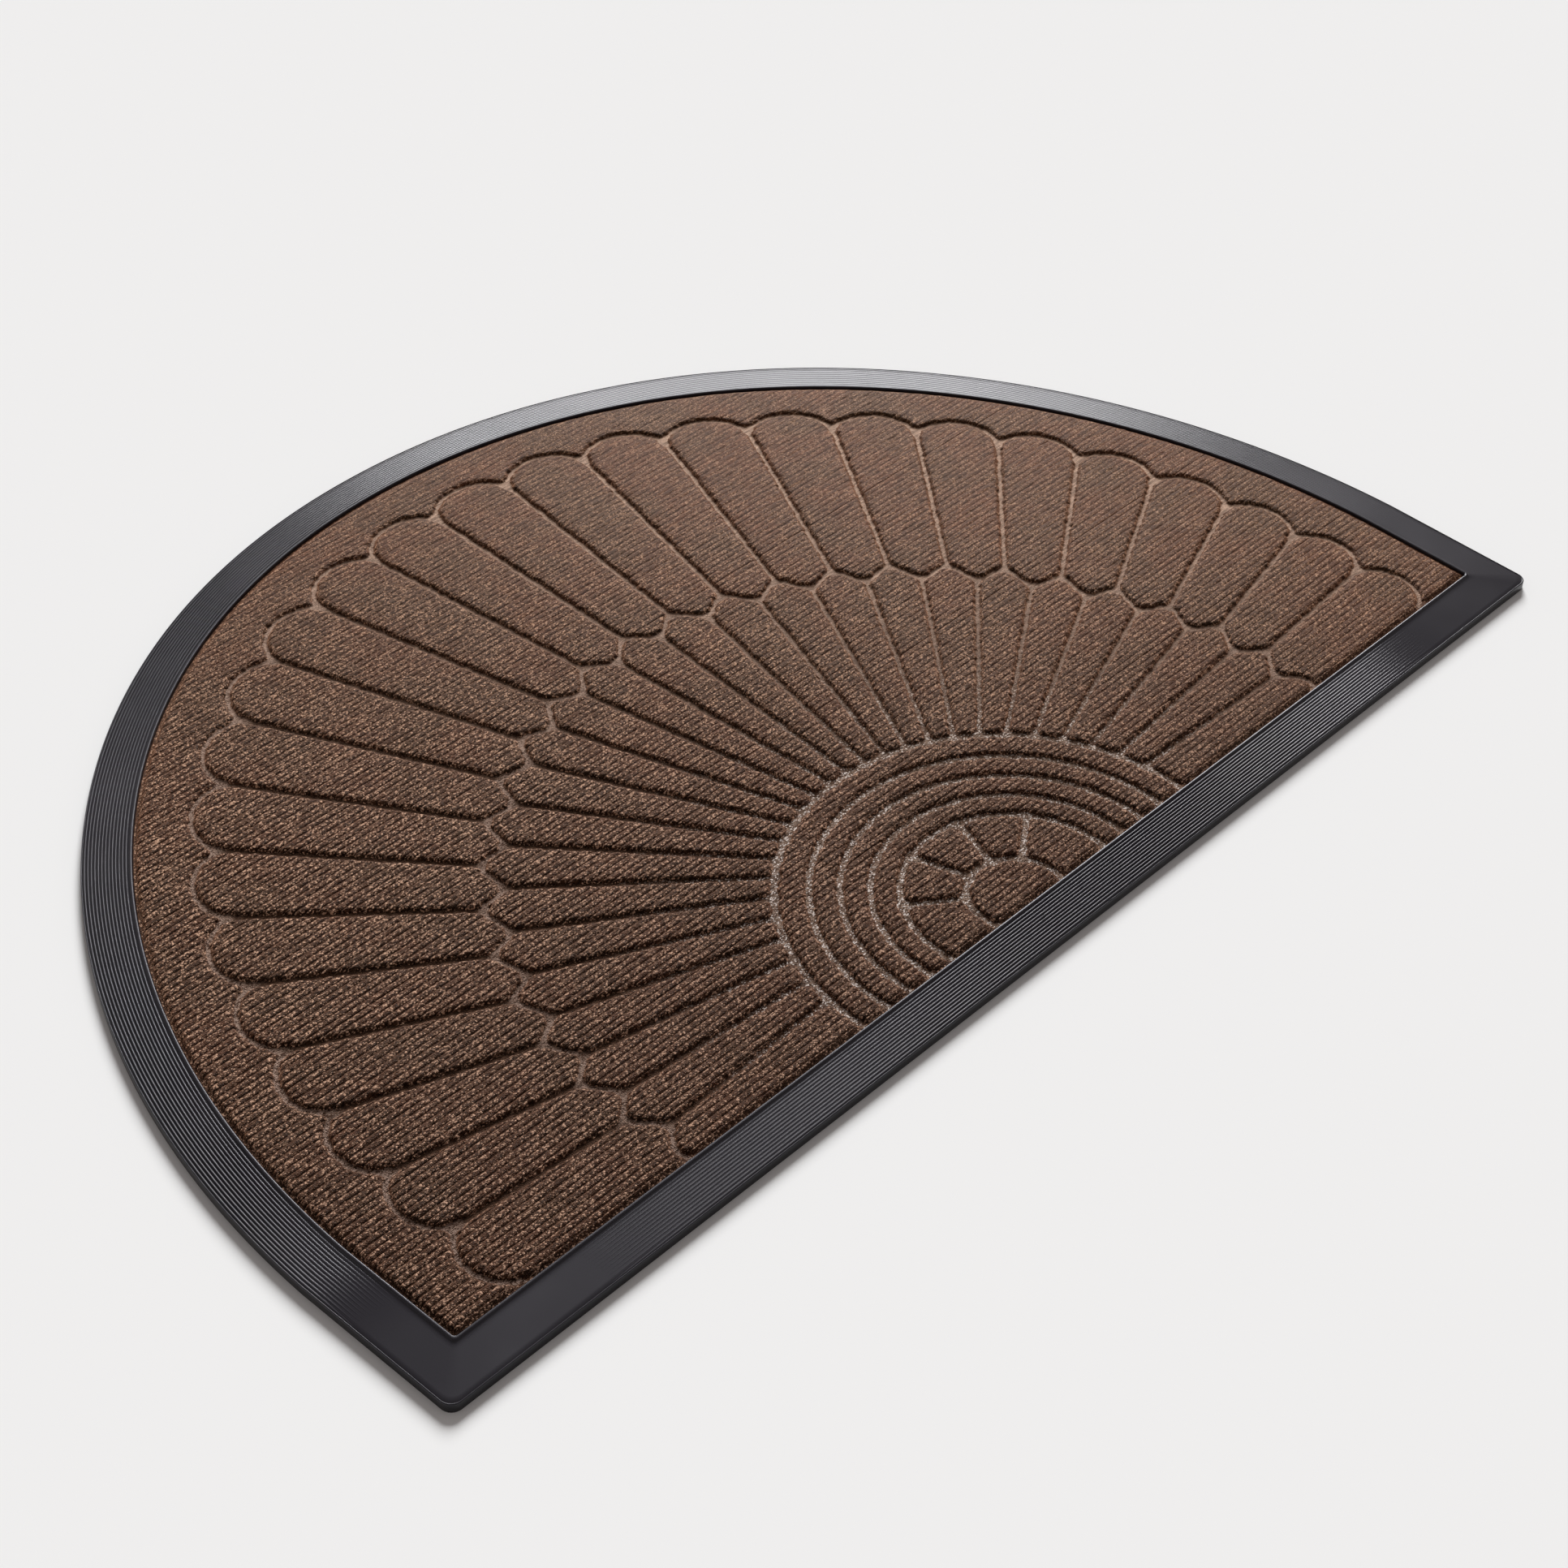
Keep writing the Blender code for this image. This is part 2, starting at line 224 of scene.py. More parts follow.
def aimLight(name, data):
    values = lights[name]
    bearing, elevation = radians(values["bearing"]), radians(values["elevation"])
    away = Vector((sin(bearing) * cos(elevation), -cos(bearing) * cos(elevation), sin(elevation)))
    item = newObject(name, data)
    item.location = away * values["distance"]
    item.rotation_euler = away.to_track_quat("Z", "Y").to_euler()
    return item


def makeSun():
    data = bpy.data.lights.new("sun", "SUN")
    data.energy = lights["sun"]["strength"]
    data.angle = radians(lights["sun"]["disc"])
    item = aimLight("sun", data)
    item.visible_glossy = False    # the sun gives the light and the shadows


def makePanel(name):
    data = bpy.data.lights.new(name, "AREA")
    data.shape = "RECTANGLE"
    data.size, data.size_y = lights[name]["size"]
    data.energy = lights[name]["watts"]
    item = aimLight(name, data)
    item.visible_diffuse = False    # the panels give the gloss alone


def makeWorld():
    world = bpy.data.worlds.new("studio")
    world.use_nodes = True
    background = world.node_tree.nodes["Background"]
    background.inputs["Color"].default_value = lights["world"]["colour"]
    background.inputs["Strength"].default_value = lights["world"]["strength"]
    bpy.context.scene.world = world
    bpy.context.scene.view_settings.view_transform = "Standard"


floor = {"size": 80.0, "colour": (0.862, 0.872, 0.874, 1.0)}


def makeFloor():
    half = floor["size"] / 2
    mesh = bpy.data.meshes.new("floor")
    points = [(-half, -half, 0), (half, -half, 0), (half, half, 0), (-half, half, 0)]
    mesh.from_pydata(points, [], [(0, 1, 2, 3)])
    item = newObject("floor", mesh)
    material, _, shader = useNodes("palePaper")
    shader.inputs["Base Color"].default_value = floor["colour"]
    shader.inputs["Roughness"].default_value = 1.0
    shader.inputs["Specular IOR Level"].default_value = 0.0
    mesh.materials.append(material)


makeCamera()
makeWorld()
makeSun()
makePanel("panel")
makePanel("strip")
makeFloor()
print("camera, light and floor are set")


# Rubber base

base = {
    "edgeHeight": 0.0055,       # height of the outer wall
    "bead": (                   # inset and rise of the small bead on top of the outer wall
        (0.0, -0.00055), (0.00006, -0.00025), (0.0002, 0.0), (0.0004, 0.00016),
        (0.00062, 0.00018), (0.00082, 0.00008), (0.00098, -0.0001),
    ),
    "slopeRows": 10,            # rows of faces under the ribs
    "slopeTop": 0.0080,         # height of the slope beside the lip
    "lipStart": 0.0262,
    "lipCrown": (               # share of the lip's width and drop from its top
        (0.0, 0.00100), (0.10, 0.00062), (0.22, 0.00022), (0.38, 0.00003), (0.55, 0.0),
        (0.75, 0.00006), (0.88, 0.00022), (0.96, 0.00048), (1.0, 0.00090),
    ),
    "recessWall": 0.0060,       # one row of faces ends here on the wall of the recess
    "recessHeight": 0.0025,
    "smoothAngle": 35,
}

ribs = {
    "start": 0.0011,            # the ribs lie between these two, counted from the edge
    "end": 0.0259,
    "count": 13,
    "width": 0.00150,
    "height": 0.00080,
    "sides": 12,
    "sink": (0.00003, 0.00012),    # depth of a rib's middle line where it stands full and where it ends
    "fadeStart": 0.030,         # the ribs fade out towards the two square corners
    "fadeLength": 0.17,
    "frontZone": 0.05,          # below this y a rib runs along the straight edge
    "crispPlace": 0.06,         # the ribs of the straight edge stand full beside this x
    "crispReach": 0.17,
    "plainShare": 0.26,         # and are that much lower far from it
    "farShare": 0.36,           # the round side's ribs are lower at the far part than at the left
    "leftShare": 0.80,
    "leftReach": 0.2,
    "knurlPitch": 0.00140,      # fine cross grain moulded into the ribs
    "knurlReach": 0.20,
    "knurlFront": 0.3,          # its strength beside the straight edge, against 1 at the left
    "knurlPlace": 0.27,         # the y where it is crispest at the left
    "knurlSide": -0.2,          # left of this x
}

rubberFinish = {
    "colour": (0.0155, 0.0143, 0.0190, 1.0),
    # painted shade: the outer wall below the top edge is coloured darker than the top
    "wall": (0.008, 0.008, 0.009, 1.0),
    "wallShadeBlend": 0.0008,
    "dust": (0.040, 0.039, 0.045, 1.0),
    "dustRange": (0.45, 0.75, 0.0, 0.35),
    "cloud": (14.0, 3.0),       # scale and detail of the noises
    "grain": (900.0, 2.0),
    "roughness": 0.27,
    "cloudRoughness": 0.08,
    "wornRoughness": 0.14,      # added beside the left half of the straight edge
    "wornX": (-0.03, -0.26),    # counted from the mat's middle
    "wornY": (-0.22, -0.26),
    "glossTint": (0.92, 0.91, 0.98, 1.0),
    "knurlDepth": 0.12,
    "bump": 0.08,
    "bumpReach": 0.0002,
}


def slopeHeight(inset):
    # height of the border's slope, which the ribs stand on
    share = (inset - ribs["start"]) / (ribs["end"] - ribs["start"])
    return base["edgeHeight"] + (base["slopeTop"] - base["edgeHeight"]) * min(max(share, 0), 1)


def borderProfile():
    # inset and height, from the underside over the border and the lip into the recess
    edge, top = base["edgeHeight"], baseHigh.z
    start, end = base["lipStart"], mat["border"]
    slope = np.linspace(ribs["start"], ribs["end"], base["slopeRows"])
    rows = [(0.0, 0.0)]
    rows += [(inset, edge + rise) for inset, rise in base["bead"]]
    rows += [(inset, slopeHeight(inset)) for inset in slope]
    rows += [(start + (end - start) * share, top - drop) for share, drop in base["lipCrown"]]
    return rows + [(end, base["recessWall"]), (end, base["recessHeight"])]


def makeRubberBase(material):
    loops = [outlineLoop(inset) for inset, _ in borderProfile()]
    heights = [height for _, height in borderProfile()]
    count = len(loops[0])
    points = [np.column_stack([loop, np.full(count, height)]) for loop, height in zip(loops, heights)]
    faces = []
    for row in range(len(loops) - 1):
        for here in range(count):
            after = (here + 1) % count
            low, high = row * count, (row + 1) * count
            faces.append((low + here, low + after, high + after, high + here))
    faces.append(tuple(range(count))[::-1])
    faces.append(tuple(range((len(loops) - 1) * count, len(loops) * count)))
    item = placeMesh("rubber_border", np.concatenate(points), faces, smoothAngle=base["smoothAngle"])
    finishPiece(item, material, "rubber_base")


def ribStrength(points):
    # 1 where a rib stands full, and less towards the corners, the far side and the plain stretches
    away = np.hypot(mat["halfWidth"] - mat["drawIn"] - np.abs(points[:, 0]), points[:, 1])
    share = np.clip((away - ribs["fadeStart"]) / ribs["fadeLength"], 0, 1)
    crisp = np.exp(-((points[:, 0] - ribs["crispPlace"]) / ribs["crispReach"]) ** 2)
    straight = ribs["plainShare"] + (1 - ribs["plainShare"]) * crisp
    leftward = np.clip(-points[:, 0] / ribs["leftReach"], 0, 1)
    around = ribs["farShare"] + (ribs["leftShare"] - ribs["farShare"]) * leftward
    return share * share * (3 - 2 * share) * np.where(points[:, 1] < ribs["frontZone"], straight, around)


def knurlStrength(points):
    # the cross grain is crisp in the middle of the left side and faint beside the straight edge
    nearFront = points[:, 1] < ribs["frontZone"]
    atLeft = points[:, 0] < ribs["knurlSide"]
    front = np.exp(-((points[:, 0] - ribs["crispPlace"]) / ribs["knurlReach"]) ** 2) * nearFront
    left = np.exp(-((points[:, 1] - ribs["knurlPlace"]) / ribs["knurlReach"]) ** 2) * atLeft
    return np.clip(ribs["knurlFront"] * front + left, 0, 1)


def ribTree(material):
    # sweeps a round rib along each closed line, then flattens it by the line's own rise
    tree = bpy.data.node_groups.new("borderRibs", "GeometryNodeTree")
    tree.interface.new_socket("Lines", in_out="INPUT", socket_type="NodeSocketGeometry")
    for name, kind in (("Rib width", "Float"), ("Rib height", "Float"), ("Rib sides", "Int")):
        tree.interface.new_socket(name, in_out="INPUT", socket_type="NodeSocket" + kind)
    tree.interface.new_socket("Ribs", in_out="OUTPUT", socket_type="NodeSocketGeometry")
    entry = tree.nodes.new("NodeGroupInput")
    path = addNode(tree, "GeometryNodeMeshToCurve", Mesh=entry.outputs["Lines"])
    upright = addNode(tree, "GeometryNodeSetCurveNormal", {"mode": "Z_UP"}, Curve=path.outputs[0])
    ring = addNode(tree, "GeometryNodeCurvePrimitiveCircle", Radius=1.0,
                   Resolution=entry.outputs["Rib sides"])
    half = mathNode(tree, "MULTIPLY", entry.outputs["Rib width"], 0.5)
    size = addNode(tree, "ShaderNodeCombineXYZ", X=half, Y=entry.outputs["Rib height"], Z=1.0)
    shape = addNode(tree, "GeometryNodeTransform", Geometry=ring.outputs[0], Scale=size.outputs[0])
    sweep = addNode(tree, "GeometryNodeCurveToMesh", Curve=upright.outputs[0], Profile_Curve=shape.outputs[0])
    rise, level = [
        addNode(tree, "GeometryNodeInputNamedAttribute", {"data_type": "FLOAT"}, Name=name).outputs[0]
        for name in ("rise", "level")
    ]
    position = tree.nodes.new("GeometryNodeInputPosition")
    height = addNode(tree, "ShaderNodeSeparateXYZ", Vector=position.outputs[0]).outputs[2]
    lift = mathNode(tree, "MULTIPLY", mathNode(tree, "SUBTRACT", height, level),
                    mathNode(tree, "SUBTRACT", rise, 1.0))
    offset = addNode(tree, "ShaderNodeCombineXYZ", X=0.0, Y=0.0, Z=lift)
    flattened = addNode(tree, "GeometryNodeSetPosition", Geometry=sweep.outputs[0], Offset=offset.outputs[0])
    soft = addNode(tree, "GeometryNodeSetShadeSmooth", Geometry=flattened.outputs[0])
    real = addNode(tree, "GeometryNodeRealizeInstances", Geometry=soft.outputs[0])
    painted = addNode(tree, "GeometryNodeSetMaterial", Geometry=real.outputs[0], Material=material)
    leave = tree.nodes.new("NodeGroupOutput")
    tree.links.new(painted.outputs[0], leave.inputs[0])
    return tree


def applyNodes(item, tree, values):
    # sets the named inputs, then keeps the result as a plain mesh
    modifier = item.modifiers.new(tree.name, "NODES")
    modifier.node_group = tree
    for socket in tree.interface.items_tree:
        if socket.item_type == "SOCKET" and socket.name in values:
            modifier[socket.identifier] = values[socket.name]
    bpy.context.view_layer.update()
    ready = item.evaluated_get(bpy.context.evaluated_depsgraph_get())
    mesh = bpy.data.meshes.new_from_object(ready)
    item.modifiers.remove(modifier)
    item.data = mesh
    mesh.name = item.name


def makeBorderRibs(material):
    pitch = (ribs["end"] - ribs["start"]) / ribs["count"]
    full, ended = ribs["sink"]
    points, edges, along, knurl, rise = [], [], [], [], []
    for rib in range(ribs["count"]):
        inset = ribs["start"] + (rib + 0.5) * pitch
        loop = outlineLoop(inset)
        rise.append(ribStrength(loop))
        first = sum(len(block) for block in points)
        points.append(np.column_stack([loop, slopeHeight(inset) - ended + (ended - full) * rise[-1]]))
        edges += [(first + here, first + (here + 1) % len(loop)) for here in range(len(loop))]
        travelled = np.append(0, np.cumsum(np.hypot(*np.diff(loop, axis=0).T)))
        along.append(travelled / ribs["knurlPitch"] + 0.5 * rib)
        knurl.append(knurlStrength(loop) * rise[-1])
    points = np.concatenate(points)
    item = placeMesh("border_ribs", points, [], along=np.concatenate(along), knurl=np.concatenate(knurl),
                     rise=np.concatenate(rise), level=points[:, 2])
    item.data.edges.add(len(edges))
    item.data.edges.foreach_set("vertices", np.array(edges).ravel())
    item.data.update()
    sizes = {"Rib width": ribs["width"], "Rib height": ribs["height"], "Rib sides": ribs["sides"]}
    applyNodes(item, ribTree(material), sizes)
    finishPiece(item, material, "rubber_base")


def rubberMaterial():
    finish = rubberFinish
    material, tree, shader = useNodes("mouldedRubber")
    place = addNode(tree, "ShaderNodeTexCoord").outputs["Object"]
    x, y, height = addNode(tree, "ShaderNodeSeparateXYZ", Vector=place).outputs
    cloud = noiseNode(tree, place, *finish["cloud"])
    grain = noiseNode(tree, place, *finish["grain"])

    dusty = rangeNode(tree, cloud, *finish["dustRange"])
    # painted shade: the outer wall gets the darker wall colour below the edge's height
    above = rangeNode(tree, height, base["edgeHeight"] - finish["wallShadeBlend"], base["edgeHeight"])
    face = mixColours(tree, dusty, finish["colour"], finish["dust"])
    tree.links.new(mixColours(tree, above, finish["wall"], face), shader.inputs["Base Color"])
    shader.inputs["Specular Tint"].default_value = finish["glossTint"]

    worn = mathNode(tree, "MULTIPLY", rangeNode(tree, x, *finish["wornX"]),
                    rangeNode(tree, y, *finish["wornY"]))
    rough = mathNode(tree, "MULTIPLY_ADD", cloud, finish["cloudRoughness"], finish["roughness"])
    rough = mathNode(tree, "MULTIPLY_ADD", worn, finish["wornRoughness"], rough)
    tree.links.new(rough, shader.inputs["Roughness"])

    wave = mathNode(tree, "SINE", mathNode(tree, "MULTIPLY", attributeNode(tree, "along"), 2 * pi))
    knurl = mathNode(tree, "MULTIPLY", wave, attributeNode(tree, "knurl"))
    relief = mathNode(tree, "MULTIPLY_ADD", knurl, finish["knurlDepth"], grain)
    bump = addNode(tree, "ShaderNodeBump", Height=relief, Strength=finish["bump"],
                   Distance=finish["bumpReach"])
    tree.links.new(bump.outputs[0], shader.inputs["Normal"])
    return material


rubber = rubberMaterial()
makeRubberBase(rubber)
makeBorderRibs(rubber)
print("rubber base and its ribs are made")


# Pressed pattern of the carpet, as lines that the grooves follow

fan = {
    "centre": 0.0391,               # on the middle line, from the straight edge
    "ringRadii": (0.1340, 0.1149, 0.0978, 0.0810, 0.0646),
    "hubRadius": 0.0283,
    "wedgeAngles": (-54, -18, 18, 54),
    "notchInset": 0.0755,           # from the mat's edge to the scallops' notches
    "notchSearch": (4001, 400),     # places on the arc and on a side where a notch is looked for
    "sideSearch": 0.20,
    "notchStep": (6.58, 0.034),     # degrees per spoke and their growth
    "waveStep": (6.69, 0.021),
    "spokeStep": (5.65, 0.076),
    "waveRadius": 0.3077,
    "waveShrink": 0.0490,
    "waveShrinkPower": 1.35,
    "waveHeight": 0.0060,
    "waveSteps": 16,                # points for two crests of the wavy line
    "tipRise": 0.30,                # share of the chord between two notches
    "tipSteps": 16,
    "lastSpoke": 12,
    "endAngle": 112,                # degrees at which the wavy line leaves the carpet
}


def fanAngle(number, step):
    size = abs(number)
    angle = radians(step[0] * size + step[1] * size * size)
    return angle if number >= 0 else -angle


def polar(radius, angle):
    return (radius * sin(angle), fan["centre"] + radius * cos(angle))


def notchPoint(number):
    # where an outer spoke meets the scalloped edge of the fan
    onArc, onSide = fan["notchSearch"]
    x, y = arcPoint(np.linspace(-pi / 2, pi / 2, onArc), fan["notchInset"])
    low = mat["shoulder"] - np.linspace(0, fan["sideSearch"], onSide)
    side = sideX(low) - fan["notchInset"]
    x = np.concatenate([-side[::-1], x, side])
    y = np.concatenate([low[::-1], y, low])
    seen = np.arctan2(x, y - fan["centre"])
    wanted = fanAngle(number, fan["notchStep"])
    return float(np.interp(wanted, seen, x)), float(np.interp(wanted, seen, y))


def wavePoint(number):
    # the wavy line between the two rows of petals, with a crest at each whole number
    angle = fanAngle(number, fan["waveStep"])
    shrink = fan["waveShrink"] * (abs(angle) / (pi / 2)) ** fan["waveShrinkPower"]
    return polar(fan["waveRadius"] - shrink + fan["waveHeight"] * cos(2 * pi * number), angle)


def tipArc(start, end):
    # the round end of an outer petal, from one notch to the next
    start, end = Vector(start), Vector(end)
    chord = (end - start).length
    rise = fan["tipRise"] * chord
    radius = (chord * chord / 4 + rise * rise) / (2 * rise)
    across = (end - start) / chord
    outward = Vector((-across.y, across.x))
    centre = (start + end) / 2 - outward * (radius - rise)
    spread = np.arccos((radius - rise) / radius)
    turns = np.linspace(-spread, spread, fan["tipSteps"] + 1)
    return [tuple(centre + outward * radius * cos(turn) + across * radius * sin(turn)) for turn in turns]


def patternLines():
    # every groove line of the fan as its points, its width and whether its ground is pale
    last = fan["lastSpoke"]
    thin, wide = pile["groove"], pile["ringGroove"]
    lines = []
    for number in range(-last, last + 1):
        lines.append(([wavePoint(number), notchPoint(number)], thin, False))
    for number in range(-last - 1, last + 1):
        spoke = fanAngle(number + 0.5, fan["spokeStep"])
        lines.append(([polar(fan["ringRadii"][0], spoke), wavePoint(number + 0.5)], thin, False))
        lines.append((tipArc(notchPoint(number), notchPoint(number + 1)), thin, True))
    end = polar(fan["waveRadius"] - fan["waveShrink"], radians(fan["endAngle"]))
    numbers = np.linspace(-last - 1, last + 1, fan["waveSteps"] * (last + 1) + 1)
    wave = [wavePoint(number) for number in numbers]
    lines.append(([(-end[0], end[1])] + wave + [end], thin, True))
    for degrees in fan["wedgeAngles"]:
        wedge = radians(degrees)
        lines.append(([polar(fan["hubRadius"], wedge), polar(fan["ringRadii"][-1], wedge)], wide, True))
    return lines


# Carpet: one pressed sheet whose pile stands in cords between the grooves

wearAndShade = {
    # places counted from the mat's middle, in metres
    "start": -0.25,             # x + y between which the pile turns smooth
    "end": 0.35,
    "front": (0.08, -0.24),     # y between which it darkens towards the straight edge; this darkening is painted shade
}

pile = {
    "backingTop": 0.0042,
    "sheetTop": 0.0070,         # height of the pressed ground in the grooves
    "trough": 0.0019,           # pressed strip along the rim
    "groove": 0.0031,
    "ringGroove": 0.0040,
    "edgeRound": 0.0024,        # how far in the pile reaches its full height
    "crown": (0.00045, 0.0035),   # how far and over what width the pile sinks beside its rounded edge
    "farGround": 0.0003,        # the grooves are that much shallower on the far side
    "cornerBlend": 0.0016,      # rounds the corners where grooves meet
    "cordPitch": 0.00414,
    "cordDepth": 0.0009,
    "farDepth": 0.30,           # share of that depth left where the cords lie brushed flat
    "broken": 0.35,             # how far the depth comes and goes along a cord
    "cordPhases": (0.0, 0.10, 0.27, 0.5, 0.73, 0.90),
    "wander": 0.00022,          # how far a cord strays sideways
    "calmRim": 0.01,            # and how far from the rim it starts to
    "unevenness": 0.00026,
    "groundShare": 0.25,        # how much of that the pressed ground takes on
    "ragged": 0.45,             # how unevenly the cords end at the groove walls
    "step": 0.0007,             # spacing of the mesh along the cords, at the groove walls
    "groundStride": 2,          # steps between points on the ground and on the open pile
    "openStride": 9,
    "wallMargin": (0.0010, 0.0003),   # the close spacing goes that far past a wall's foot and top
    "rimMargin": 0.0002,
    "lastRow": 0.00002,         # the last row of the mesh lies that far inside the carpet's far end
    "lineReach": 0.014,         # a groove line is worked out that far around itself
    "rimSearch": 0.012,
    "footSink": 0.0002,         # the bands reach that far into the backing
    "bands": 4,
}

# seed and wave lengths, in metres, of what varies along the cords
cordWaves = {
    "stray": (11, (0.031, 0.083, 0.210)),
    "uneven": (12, (0.012, 0.027, 0.064)),
    "ragged": (13, (0.005, 0.009, 0.017)),
    "broken": (17, (0.013, 0.019, 0.037)),
}


def looseWaves(columns, number, kind):
    # wandering along the cords between -1 and 1, with other phases for each cord number
    seed, lengths = cordWaves[kind]
    picker = np.random.default_rng(seed)
    x, row = columns[None, :], number[:, None]
    total = np.zeros(np.broadcast(x, row).shape)
    for length in lengths:
        phases = picker.uniform(0, 2 * pi, row.max() + 1)
        total += np.sin(2 * pi * x / length + phases[row])
    return total / len(lengths)


def nearPart(columns, rows, points, reach):
    # the part of the grid that lies within reach of the points
    left, right = np.searchsorted(columns, (points[:, 0].min() - reach, points[:, 0].max() + reach))
    low, high = np.searchsorted(rows[:, 0], (points[:, 1].min() - reach, points[:, 1].max() + reach))
    return slice(low, high), slice(left, right)


def segmentGap(x, y, start, end):
    # distance from each place to the straight stretch between two points
    along = end - start
    share = np.clip(((x - start[0]) * along[0] + (y - start[1]) * along[1]) / (along @ along), 0, 1)
    return np.hypot(x - start[0] - share * along[0], y - start[1] - share * along[1])


def addLine(total, columns, rows, line, width):
    # adds one line's closeness to the running sum of the rounded meeting of all grooves
    line = np.array(line)
    part = nearPart(columns, rows, line, pile["lineReach"])
    x, y = columns[None, part[1]], rows[part]
    nearest = np.full(y.shape, 1.0)
    for start, end in zip(line[:-1], line[1:]):
        np.minimum(nearest, segmentGap(x, y, start, end), out=nearest)
    total[part] += np.exp((width / 2 - nearest) / pile["cornerBlend"])


def addRing(total, columns, rows, radius, width):
    gap = np.abs(np.hypot(columns[None, :], rows - fan["centre"]) - radius)
    total += np.exp((width / 2 - gap) / pile["cornerBlend"])


def rimReach(y):
    # half the carpet's width at a height y, measured along x
    inset, radius = mat["carpetInset"], mat["innerRadius"]
    arcX, arcY = arcPoint(np.linspace(0, pi / 2, loopSteps["search"]), inset)
    onArc = np.interp(y, arcY[::-1], arcX[::-1])
    drop = np.clip(inset + radius - y, 0, radius)
    onSide = sideX(y) - inset - radius + np.sqrt(radius ** 2 - drop ** 2)
    return np.where(y > mat["shoulder"], onArc, onSide)


def rimDistance(columns, rows):
    # distance inwards from the carpet's rim, close enough near the rim
    distance = np.full(rows.shape, 1.0)
    loop = outlineLoop(mat["carpetInset"])
    for start, end in zip(loop, np.roll(loop, -1, axis=0)):
        part = nearPart(columns, rows, np.stack([start, end]), pile["rimSearch"])
        gap = segmentGap(columns[None, part[1]], rows[part], start, end)
        distance[part] = np.minimum(distance[part], gap)
    return distance


def cordRows():
    # heights y of the mesh rows, their place across a cord and the number of the cord
    front = mat["carpetInset"]
    length = carpetHigh.y - carpetLow.y
    cords = round(length / pile["cordPitch"])
    phases = np.array(pile["cordPhases"])
    number = np.repeat(np.arange(cords), len(phases))
    phase = np.tile(phases, cords)
    y = front + (number + phase) * length / cords
    return np.append(y, front + length - pile["lastRow"]), np.append(phase, 0.0), np.append(number, cords)


def risen(total):
    # how far the pile has risen, from 0 on the ground to 1, and the distance from the groove
    inside = -pile["cornerBlend"] * np.log(total)
    climb = np.clip(inside / pile["edgeRound"], 0, 1)
    return np.sqrt(1 - (1 - climb) ** 2), inside


def brushed(x, y):
    # 0 where feet step on near the hub and the left corner, 1 towards the far side
    share = (x + y - mat["depth"] / 2 - wearAndShade["start"]) / (wearAndShade["end"] - wearAndShade["start"])
    return np.clip(share, 0, 1)


def carpetSurface():
    # the whole upper side as a grid: its rows follow the cords, which wander a little
    rowY, phase, number = cordRows()
    steps = int((carpetHigh.x - carpetLow.x) / pile["step"])
    columns = np.linspace(carpetLow.x, carpetHigh.x, steps + 1)
    rows = np.repeat(rowY[:, None], len(columns), axis=1)
    rim = rimDistance(columns, rows)
    calm = np.clip(rim / pile["calmRim"], 0, 1)
    rows = rows + looseWaves(columns, number, "stray") * calm * pile["wander"]

    total = np.full(rows.shape, 1e-9)    # far from every line, but above 0 for the logarithm
    spokes = np.zeros(rows.shape)
    for line, width, isPale in patternLines():
        addLine(total if isPale else spokes, columns, rows, line, width)
    for radius in fan["ringRadii"] + (fan["hubRadius"],):
        addRing(total, columns, rows, radius, pile["ringGroove"])
    total += spokes
    spoke = spokes / total
    total *= np.exp(looseWaves(columns, number, "ragged") * pile["ragged"])
    groove = 1 - risen(total)[0]
    full, inside = risen(total + np.exp((pile["trough"] - rim) / pile["cornerBlend"]))

    crest = np.sqrt(1 - (2 * phase - 1) ** 2)[:, None]
    uneven = looseWaves(columns, number, "uneven") * pile["unevenness"]
    broken = 1 + pile["broken"] * looseWaves(columns, number, "broken")
    flat = brushed(columns[None, :], rows)
    depth = pile["cordDepth"] * broken * (1 - (1 - pile["farDepth"]) * flat)
    sink, sinkReach = pile["crown"]
    top = carpetHigh.z - depth * (1 - crest) + uneven - sink * np.exp(-np.clip(inside, 0, 1) / sinkReach)
    ground = pile["sheetTop"] + pile["groundShare"] * uneven + pile["farGround"] * flat * groove
    return {
        "columns": columns, "rows": rows, "rowY": rowY, "height": ground + (top - ground) * full,
        "groove": groove, "inside": inside, "spoke": spoke, "crest": crest[:, 0],
    }


def pickPoints(surface):
    # each row's points: close together at the groove walls, further apart on open pile
    columns, inside = surface["columns"], surface["inside"]
    below, above = pile["wallMargin"]
    column = np.arange(len(columns))[None, :]
    wall = (inside > -below) & (inside < pile["edgeRound"] + above)
    ground = (inside <= -below) & (column % pile["groundStride"] == 0)
    keep = wall | ground | (column % pile["openStride"] == 0)
    picked = []
    for row, (y, crest) in enumerate(zip(surface["rowY"], surface["crest"])):
        reach = float(rimReach(y))
        chosen = np.nonzero(keep[row] & (np.abs(columns) < reach - pile["rimMargin"]))[0]
        shares = [surface[key][row, chosen] for key in ("rows", "height", "groove", "spoke")]
        line = np.stack([columns[chosen], *shares, np.full(len(chosen), crest)], 1)
        ends = [(x, y, pile["sheetTop"], 0.0, 0.0, crest) for x in (-reach, reach)]
        picked.append(np.concatenate([ends[:1], line, ends[1:]]))
    return picked


def zipRows(lowX, lowIndex, highX, highIndex):
    # triangles of the strip between two rows of points, in order of x
    order = np.argsort(np.concatenate([lowX[1:], highX[1:]]), kind="stable")
    fromLow = (order < len(lowX) - 1).astype(int)
    lowStep = np.cumsum(fromLow) - fromLow
    highStep = np.cumsum(1 - fromLow) - (1 - fromLow)
    nextLow = lowIndex[np.minimum(lowStep + 1, len(lowX) - 1)]
    nextHigh = highIndex[np.minimum(highStep + 1, len(highX) - 1)]
    third = np.where(fromLow == 1, nextLow, nextHigh)
    return np.stack([lowIndex[lowStep], third, highIndex[highStep]], 1)


